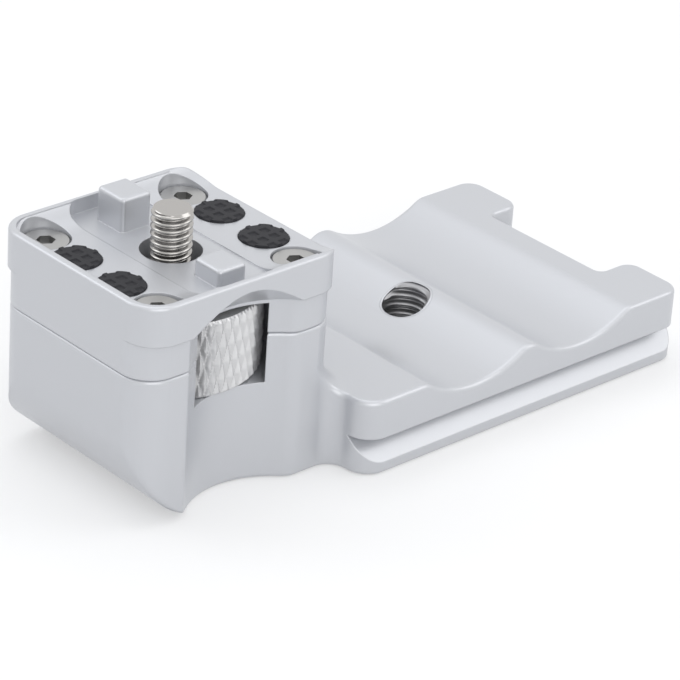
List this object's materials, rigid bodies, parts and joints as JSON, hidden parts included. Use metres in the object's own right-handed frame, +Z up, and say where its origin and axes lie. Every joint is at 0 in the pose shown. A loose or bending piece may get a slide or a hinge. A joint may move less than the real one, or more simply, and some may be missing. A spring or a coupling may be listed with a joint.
{
  "type": "lens collar foot",
  "caption": "Low aluminium lens collar foot: dovetail plate with finger waves and a tripod thread, and a bolted clamp head with a knurled wheel that turns a threaded stud.",
  "frame": {"origin": "centre of the flat underside, at the middle of the foot's length and width", "axes": "+X along the foot from the clamp tower to the plate's notched end, +Y across it, +Z up towards the lens"},
  "size_m": [0.0816, 0.038, 0.0318],
  "materials": {
    "body_metal": "silver, fine bead blast, anodised",
    "cap_metal": "silver, fine bead blast, anodised",
    "wheel_metal": "silver, diamond knurl",
    "screw_metal": "nickel plated",
    "stud_metal": "turned stainless thread",
    "washer_plastic": "matt black",
    "pad_rubber": "matt, moulded waffle"
  },
  "bodies": {
    "foot": {"foot_body": "body_metal", "cap": "cap_metal", "cap_screws": "screw_metal", "grip_pad_1": "pad_rubber", "grip_pad_2": "pad_rubber", "grip_pad_3": "pad_rubber", "grip_pad_4": "pad_rubber"},
    "clamp": {"thumb_wheel": "wheel_metal", "thrust_washer": "washer_plastic", "clamp_screw": "stud_metal"}
  },
  "joints": [
    {"name": "wheel_turn", "type": "hinge", "parent": "foot", "child": "clamp", "pos_m": [-0.02635, 0, 0.0175], "axis": [0, 0, 1], "continuous": true}
  ]
}
